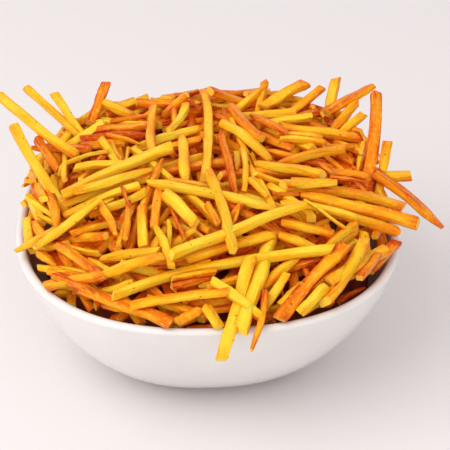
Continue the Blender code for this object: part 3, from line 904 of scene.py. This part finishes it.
def stations():
    """Shares from -0.5 to 0.5 along a stick, close together at the ends: 0.5 sign(t) (1 - (1-|t|)^c)."""
    t = np.linspace(-1, 1, RINGS)
    return 0.5 * np.sign(t) * (1 - (1 - np.abs(t)) ** CROWDING)


across, up, edge = stick_section()
along = stations()[None, :, None]
SECTION = len(across)
gaps = np.hypot(across - np.roll(across, -1), up - np.roll(up, -1))
GIRTH = gaps.sum() * STICK_WIDTH / MM       # once round a usual stick, in mm
print("section of", SECTION, "points,", RINGS, "rings")

# %% Sticks to one mesh
LOOKS_SEED = 21             # of the draws for twist, wear and browning
TWIST = 0.6                 # most twist from end to end, radians
ROLL = 0.5                  # most roll about its own line, radians
WAIST = 0.06                # how much the width comes and goes
SINK = 0.07                 # how much a face sinks between its edges
SLANT = 0.55                # most slant of a cut end
POINTED = 0.10              # share of ends dried to a point
DRIED = 0.57                # a stick browner than this has its far end dried to a point
BEND = 0.008                # how far the middle line wanders, as a share of the length
FULL_TURN = 6.3             # range of a wave's start, radians
SLOW, QUICK = (4, 11), (14, 26)     # radians that waves go through from end to end of a stick
DENTS, WANDERS = (6, 20), (3, 8)
END_POWER = 24              # larger keeps the slant of a cut closer to the end
SHARP_FROM = 55             # edges that turn more than this stay crisp, degrees
# width left near an end: tip + distance / reach, at most 1, and for a dried one to the power
POINT_TIP, POINT_REACH, POINT_POWER = 0.25, 9 * MM, 0.6
WORN_TIP, WORN_REACH = 0.92, 12 * MM


def column_of(sticks, key):
    """One value of every stick, along the first axis."""
    return np.array([getattr(stick, key) for stick in sticks])[:, None, None]


def frames(sticks):
    """Middle line of every stick at every ring, and the unit vectors ahead, across and up.

    The line is x(a) = x + a L cos h - b sin h, y(a) = y + a L sin h + b cos h and
    z(a) = z + a L slope + c, where b = sway w and c = arch w bow it by w = 1/3 - 4 a^2.
    """
    keys = ("x", "y", "z", "heading", "length", "slope", "sway", "arch")
    x, y, z, heading, length, slope, sway, arch = (column_of(sticks, key) for key in keys)
    cos, sin = np.cos(heading), np.sin(heading)
    bow, turn = 1 / 3 - 4 * along ** 2, -8 * along
    run, side = along * length, sway * bow
    line = np.stack((x + run * cos - side * sin, y + run * sin + side * cos,
                     z + run * slope + arch * bow), -1)
    ahead = np.stack((length * cos - sway * turn * sin, length * sin + sway * turn * cos,
                      length * slope + arch * turn), -1)
    ahead /= np.linalg.norm(ahead, axis=-1, keepdims=True)
    level = np.cross((0.0, 0.0, 1.0), ahead)
    level /= np.linalg.norm(level, axis=-1, keepdims=True)
    return line, ahead, level, np.cross(ahead, level)


def stick_points(sticks, browning, draw):
    """Points of all sticks, with xyz as a fourth axis."""

    def vary(low, high):
        return draw.uniform(low, high, len(sticks))[:, None, None]

    def wave(spread):
        """sin(k a + start), with a k and a start of each stick's own."""
        return np.sin(vary(*spread) * along + vary(0, FULL_TURN))

    width, thickness, length = (column_of(sticks, key) for key in ("width", "thickness", "length"))
    waist = 1 + WAIST * wave(SLOW) + WAIST / 2 * wave(QUICK)
    swell_up = 1 + WAIST * wave(SLOW)
    reach = length * (0.5 - np.abs(along))
    dried = browning[:, None, None] > DRIED
    pointed = np.where(along > 0, (vary(0, 1) < POINTED) | dried, (vary(0, 1) < POINTED) & ~dried)
    point = np.clip(POINT_TIP + reach / POINT_REACH, 0, 1) ** POINT_POWER
    taper = np.where(pointed, point, np.clip(WORN_TIP + reach / WORN_REACH, 0, 1))
    turn = ROLL * vary(-1, 1) + TWIST * vary(-1, 1) * along
    cos, sin = np.cos(turn), np.sin(turn)
    dent = 1 - SINK * (1 - edge) * (1 + wave(DENTS))
    x = across * (width * waist * taper) * dent
    y = up * (thickness * swell_up * taper) * dent
    x, y = x * cos - y * sin, x * sin + y * cos
    end = np.abs(2 * along) ** END_POWER
    wander = BEND * length * (1 - (2 * along) ** 2)
    x = x + wander * wave(WANDERS)
    y = y + wander * wave(WANDERS)
    shift = (x * (SLANT * vary(-1, 1)) + y * (SLANT * vary(-1, 1))) * end
    line, ahead, level, upward = frames(sticks)
    return line + x[..., None] * level + y[..., None] * upward + shift[..., None] * ahead


def stick_mesh(name, sticks, browning, draw):
    """One mesh of many closed sticks, with what its finish needs to know at each point."""
    count = len(sticks)
    rings = stick_points(sticks, browning, draw)
    poles = rings[:, (0, -1)].mean(2)
    points = np.concatenate((rings.reshape(count, -1, 3), poles), 1)
    each = points.shape[1]
    step = np.arange(count)[:, None, None] * each
    quads = (grid_faces(RINGS, SECTION)[None] + step).reshape(-1, 4)
    fans = (pole_faces(RINGS, SECTION)[None] + step).reshape(-1, 3)
    mesh = write_mesh(name, points.reshape(-1, 3), quads, fans)
    mesh.set_sharp_from_angle(angle=math.radians(SHARP_FROM))
    length = np.array([stick.length * math.hypot(1, stick.slope) for stick in sticks])[:, None, None]

    def spread(ring_values, pole_value):
        """Values for every point, from some that are the same along an axis."""
        values = np.broadcast_to(ring_values, (count, RINGS, SECTION)).reshape(count, -1)
        return np.concatenate((values, np.broadcast_to(pole_value, (count, 2))), 1)

    attributes = {
        "browning": spread(browning[:, None, None], browning[:, None]),
        "tip": spread(length * (0.5 - np.abs(along)) / MM, 0.0),
        "cut": spread(0.0, 1.0),
    }
    for key, values in attributes.items():
        store = mesh.attributes.new(key, "FLOAT", "POINT").data
        store.foreach_set("value", values.ravel().astype(np.float32))

    along_mm = along * length / MM + 100 * np.arange(count)[:, None, None]
    around_mm = np.concatenate(((0,), np.cumsum(gaps))) * STICK_WIDTH / MM
    row, column = np.meshgrid(np.arange(RINGS - 1), np.arange(SECTION), indexing="ij")
    u = np.stack([along_mm[:, row + di, 0] for di in (0, 0, 1, 1)], -1)
    v = np.broadcast_to(np.stack([around_mm[column + dj] for dj in (0, 1, 1, 0)], -1), u.shape)
    side = np.stack((u, v), -1).reshape(-1, 2)
    caps = points.reshape(-1, 3)[fans.ravel()][:, :2] / MM
    grain = mesh.uv_layers.new(name="grain").data
    grain.foreach_set("uv", np.concatenate((side, caps)).astype(np.float32).ravel())
    return mesh


# %% [markdown]
# ## Fried cassava
# Fresh cassava is white, and hot oil turns it gold, then orange, then red-brown, first at the edges
# and the thin ends. Oil soaks the skin, so it is darker than a dry crumb and a little glossy. The
# colour of a stick is one ramp from pale to burnt. How far along it each point sits is the sum of the
# stick's own browning, its edges and tips, blotches, streaks and fine fibres, and a little more
# where the skin turns away. Where sticks are close together, painted shade takes it further.
# Pale spots are painted highlight, with some of the skin's own mottling. The driest spots stay pale.

# %% Cassava finish
EDGE_BROWNING = 0.16        # added along the edges
RIND = 0.24                 # added where the surface turns away, seen through more of the oily skin
CREVICE = 6 * MM            # reach of the painted shade between close sticks
# how far the painted shade between close sticks goes toward burnt
CREVICE_SHADE = 0.24
DAPPLE_AND_HIGHLIGHT = 0.36               # how far the pale spots go: painted highlight, with some of the skin's own mottling
TIP_BROWNING = 0.20         # added at the tips, and ever less up to a reach from them
TIP_REACH = 6.0             # mm, as the finish counts
BLOTCHES, STREAKS, FIBRES = 1.1, 0.6, 0.44      # range of each over the browning
SPECKS_PER_MM = 0.32
SPECK_RADIUS = 0.11         # as a share of the space between specks
SPECKED = 0.28              # share of the specks that are dark


def fried_cassava(name, pale, gold, orange, burnt):
    material, shader = new_material(name)
    grain = add_node(material, "UVMap", {"uv_map": "grain"}).outputs["UV"]

    def attribute(key):
        return add_node(material, "Attribute", {"attribute_name": key}).outputs["Fac"]

    def noise(size_along, size_around, detail, roughness=0.5):
        """Noise whose blotches have a size in millimetres along and around the stick."""
        scaled = add_node(material, "Mapping", Vector=grain,
                          Scale=(1 / size_along, 1 / size_around, 1.0))
        return add_node(material, "TexNoise", Vector=scaled.outputs[0], Scale=1.0,
                        Detail=detail, Roughness=roughness).outputs["Fac"]

    def centred(value, amount):
        """From minus to plus half the amount, as the value goes from 0 to 1."""
        return sum_of(material, "MULTIPLY_ADD", value, amount, -amount / 2)

    blotch = noise(16, 5, 3.0)
    streak = noise(18, 0.9, 2.0)
    fibre = noise(6, 0.35, 3.0, 0.6)
    tip = remap(material, attribute("tip"), 0.0, TIP_REACH, TIP_BROWNING, 0.0)
    around = add_node(material, "SeparateXYZ", Vector=grain).outputs["Y"]
    to_edge = sum_of(material, "PINGPONG", around, GIRTH / 8)
    worn = remap(material, to_edge, GIRTH / 8 * 0.3, GIRTH / 8, 0.0, EDGE_BROWNING)
    # painted shade: where the ambient occlusion finds sticks close by, the skin is taken further toward
    # burnt
    open_share = add_node(material, "AmbientOcclusion", {"samples": 6}, Distance=CREVICE)
    crevice_shade = remap(material, open_share.outputs["AO"], 0.9, 0.25, 0.0, CREVICE_SHADE)
    slanting = add_node(material, "LayerWeight", Blend=0.45).outputs["Facing"]
    rind = sum_of(material, "MULTIPLY", slanting, RIND)
    level = attribute("browning")
    for part in (worn, tip, rind, crevice_shade, centred(blotch, BLOTCHES), centred(streak, STREAKS),
                 centred(fibre, FIBRES)):
        level = sum_of(material, "ADD", level, part)
    skin = ramp(material, level, (0.08, pale), (0.38, gold), (0.72, orange), (1.0, burnt))
    # pale spots toward #FFE274: painted highlight, with some of the skin's own mottling
    dapple_and_highlight = remap(material, noise(1.8, 1.0, 2.0), 0.52, 0.74, 0.0, DAPPLE_AND_HIGHLIGHT)
    skin = mixed(material, dapple_and_highlight, skin, linear("#FFE274"))
    cut_face = sum_of(material, "GREATER_THAN", attribute("cut"), 0.02)
    flesh = mixed(material, sum_of(material, "MULTIPLY", attribute("browning"), 0.8),
                  linear("#FFD648"), linear("#E88A1C"))
    colour = mixed(material, cut_face, skin, flesh)
    speck = add_node(material, "TexVoronoi", Vector=grain, Scale=SPECKS_PER_MM, Randomness=1.0)
    dark = sum_of(material, "LESS_THAN", speck.outputs["Distance"], SPECK_RADIUS)
    few = add_node(material, "SeparateXYZ", Vector=speck.outputs["Color"]).outputs["X"]
    dark = sum_of(material, "MULTIPLY", dark, sum_of(material, "LESS_THAN", few, SPECKED))
    colour = mixed(material, sum_of(material, "MULTIPLY", dark, 0.6), colour, linear("#5A2A0C"))
    height = sum_of(material, "MULTIPLY_ADD", fibre, 0.6, noise(2.4, 1.5, 3.0))
    bump = add_node(material, "Bump", Height=height, Distance=0.35 * MM, Strength=1.0)
    fill(material, shader, {
        "Base Color": colour,
        "Roughness": remap(material, fibre, 0.0, 1.0, 0.24, 0.5),
        "Normal": bump.outputs[0],
        "IOR": 1.45,
        "Specular IOR Level": 0.4,
        "Specular Tint": linear("#FFD890"),
        "Subsurface Weight": 0.35,
        "Subsurface Radius": (1.0, 0.35, 0.06),
        "Subsurface Scale": 1.5 * MM,
    })
    return material


golden = fried_cassava("golden_fried_cassava", "#F4D438", "#F5B914", "#EE8008", "#C83E04")
# painted bounce light: the bed's copy of the finish is brighter and redder, for the warm light thrown
# between the sticks deep in the heap, where they lie in shade
painted_bounce_cassava = fried_cassava("fried_cassava_painted_bounce", "#FFD42A", "#FFB010", "#FF7E06", "#EA5204")
print("finishes", golden.name, painted_bounce_cassava.name)

# %% Sticks in place
SIDE_SHADE = 0.08               # painted shade: how much browner the right side of the heap, away from the light, is than its middle
looks = np.random.default_rng(LOOKS_SEED)


def browning_of(sticks, low, high):
    """How browned each stick is: mostly near the low value, and more to the right as painted shade away
    from the light.
    """
    to_right = np.array([stick.x for stick in sticks]) / RIM_HALF
    return low + (high - low) * looks.random(len(sticks)) ** 2 + SIDE_SHADE * to_right


kinds = (
    # painted shade and bounce light: the bed is browned further, for the deep red-brown seen between the
    # sticks
    ("bed_sticks", bed, browning_of(bed, 0.2, 0.75), painted_bounce_cassava),
    ("loose_sticks", loose, browning_of(loose, 0.05, 0.7), golden),
    ("slips", slips, browning_of(slips, 0.1, 0.8), golden),
    ("shoulder_sticks", shoulder, browning_of(shoulder, 0.15, 0.75), golden),
    ("long_sticks", laid + propped, np.array([row[-1] for row in LAID + PROPPED]), golden),
)
for name, sticks, browning, finish in kinds:
    add_piece(name, stick_mesh(name, sticks, browning, looks), finish, "heap")

# %% [markdown]
# ## What lies deeper
# Between the sticks the eye meets others in shadow. Below the bed a closed core fills the bowl,
# rough and painted dark red-brown as painted shade, the shadow of a tangle seen through a gap, and
# the bed hides all but glimpses of it.

# %% Core
CORE_DEPTH = 16.5 * MM
CORE_EDGE = 33 * MM         # height where the core leaves the wall
CORE_RISE = 1.3             # steepest rise inward from there
CORE_SIDES = 96


def core_mesh():
    """Up the inner wall at a clearance, over the top at a depth below the heap's outside."""
    z = np.linspace(FLOOR, CORE_EDGE, 10)
    rings = rounded_squares(inner_half(z) - CLEARANCE, z + CLEARANCE, CORE_SIDES)
    share = 1 - np.linspace(0.02, 0.98, 24)
    top = rounded_squares(share * (inner_half(z[-1]) - CLEARANCE), share * 0, CORE_SIDES)
    outside = heap_height(top[..., 0], top[..., 1]) - CORE_DEPTH
    top[..., 2] = np.clip(outside, CORE_EDGE, CORE_EDGE + CORE_RISE * (1 - share)[:, None] * RIM_HALF)
    poles = [(0, 0, rings[0, 0, 2]), (0, 0, top[-1, :, 2].mean())]
    return closed_mesh("core", np.concatenate((rings, top)), poles)


def shaded_cassava():
    material, shader = new_material("shaded_fried_cassava")
    place = add_node(material, "TexCoord").outputs["Object"]
    noise = add_node(material, "TexNoise", Vector=place, Scale=1 / (6 * MM), Detail=4.0)
    # painted shade: dark red-brown for the shadow deep in the heap
    colour = ramp(material, noise.outputs["Fac"], (0.3, "#6A1C04"), (0.7, "#A03C08"))
    fill(material, shader, {"Base Color": colour, "Roughness": 0.7})
    return material


add_piece("heap_core", core_mesh(), shaded_cassava(), "heap")

# %% [markdown]
# ## Table and light
# The bowl stands on a pale table that runs on without an edge. A large soft light stands high at the
# left, and a wide weak one in front fills the shadows.

# %% Table
TABLE_HALF = 3.0
mesh = bpy.data.meshes.new("table")
corners = [(x * TABLE_HALF, y * TABLE_HALF, 0) for x, y in ((-1, -1), (1, -1), (1, 1), (-1, 1))]
mesh.from_pydata(corners, [], [(0, 1, 2, 3)])
table = bpy.data.objects.new("table", mesh)
bpy.context.scene.collection.objects.link(table)
material, shader = new_material("pale_table")
fill(material, shader, {"Base Color": linear("#E8E4E4"), "Roughness": 0.6})
mesh.materials.append(material)

# %% Lights
LIGHTS = (
    # name, azimuth, elevation, distance, size, power, colour
    ("window", -62, 50, 1.1, 0.9, 6.5, "#FFFBF8"),
    ("fill", 10, 40, 1.3, 1.6, 2.5, "#FFF8F8"),
)
for name, side, rise, distance, size, power, colour in LIGHTS:
    light = bpy.data.lights.new(name, "AREA")
    light.size = size
    light.energy = power
    light.color = linear(colour)[:3]
    place_facing(bpy.data.objects.new(name, light), distance * direction(side, rise), (0, 0, 40 * MM))

world = bpy.data.worlds.new("room")
bpy.context.scene.world = world
world.use_nodes = True
fill(world, world.node_tree.nodes["Background"], {"Color": linear("#FFFBFB"), "Strength": 0.78})
bpy.context.scene.view_settings.view_transform = "Standard"
